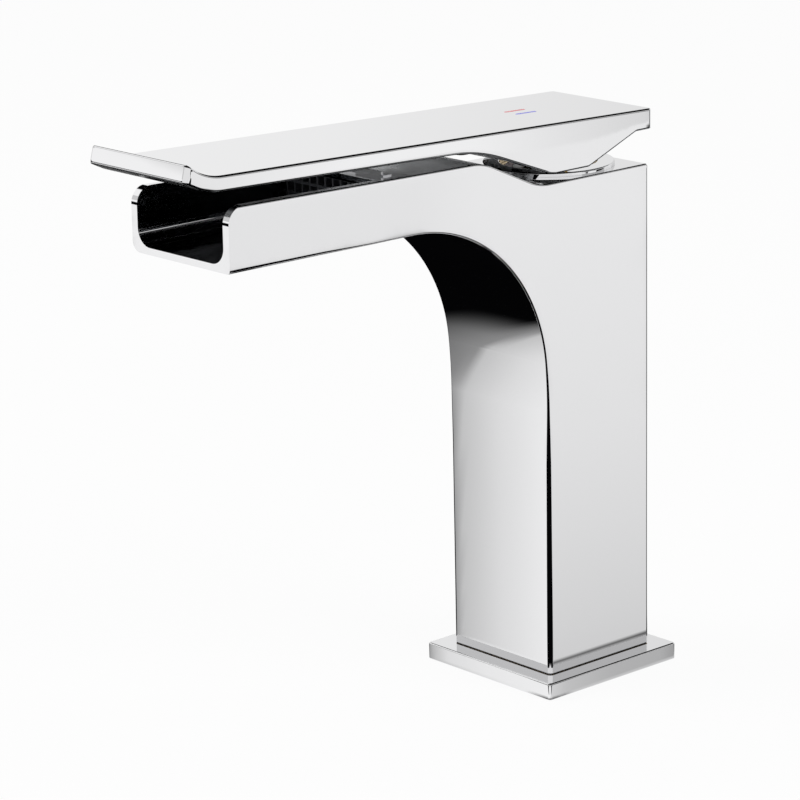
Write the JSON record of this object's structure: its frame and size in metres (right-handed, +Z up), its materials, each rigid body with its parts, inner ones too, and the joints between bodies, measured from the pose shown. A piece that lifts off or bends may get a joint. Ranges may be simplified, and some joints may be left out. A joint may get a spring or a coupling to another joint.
{
  "type": "waterfall basin faucet",
  "caption": "Square-column basin mixer with an open waterfall channel spout and a flat full-width lever over it, on a square base plate.",
  "frame": {"origin": "centre of the square base plate's underside, midway between the two mounting studs", "axes": "+Z up, the spout and lever point to -Y, the width lies along X; hot is on -X and cold on +X"},
  "size_m": [0.0536, 0.1792, 0.1791],
  "materials": {
    "chrome": "polished",
    "rubber": "matte",
    "dark_plastic": "satin",
    "steel": "satin",
    "white_plastic": "satin",
    "ceramic": "polished",
    "brass": "satin",
    "red_plastic": "satin",
    "red_enamel": "gloss",
    "blue_enamel": "gloss"
  },
  "bodies": {
    "faucet_body": {"body_casting": "chrome", "base_plate": "chrome", "base_gasket": "rubber", "flow_grille": "dark_plastic", "grille_clip": "steel", "cartridge_base": "white_plastic", "disc_seal": "rubber", "fixed_disc": "ceramic", "cartridge_housing": "white_plastic", "housing_o_ring": "rubber", "limit_ring": "red_plastic", "nut_washer": "white_plastic", "retaining_nut": "brass", "bonnet_ring": "chrome", "bonnet_seal": "rubber", "hot_port_seal": "rubber", "cold_port_seal": "rubber"},
    "swing": {"spindle_guide": "white_plastic", "guide_o_ring": "rubber", "spindle_pin": "steel"},
    "lever": {"lever": "chrome", "spindle": "brass", "hot_mark": "red_enamel", "cold_mark": "blue_enamel", "grub_screw": "steel", "screw_plug": "chrome"},
    "disc": {"moving_disc": "ceramic", "disc_carrier": "white_plastic"}
  },
  "joints": [
    {"name": "lever_swing", "type": "hinge", "parent": "faucet_body", "child": "swing", "pos_m": [0, 0, 0.1464], "axis": [0, 0, 1], "range_deg": [-45, 45]},
    {"name": "lever_lift", "type": "hinge", "parent": "swing", "child": "lever", "pos_m": [0, 0, 0.1464], "axis": [-1, 0, 0], "range_deg": [0, 20]},
    {"name": "disc_slide", "type": "slide", "parent": "swing", "child": "disc", "axis": [0, -1, 0], "range_m": [0, 0.0042]}
  ],
  "couplings": [
    {"joint": "disc_slide", "follows": "lever_lift", "m_per_rad": 0.010876}
  ]
}
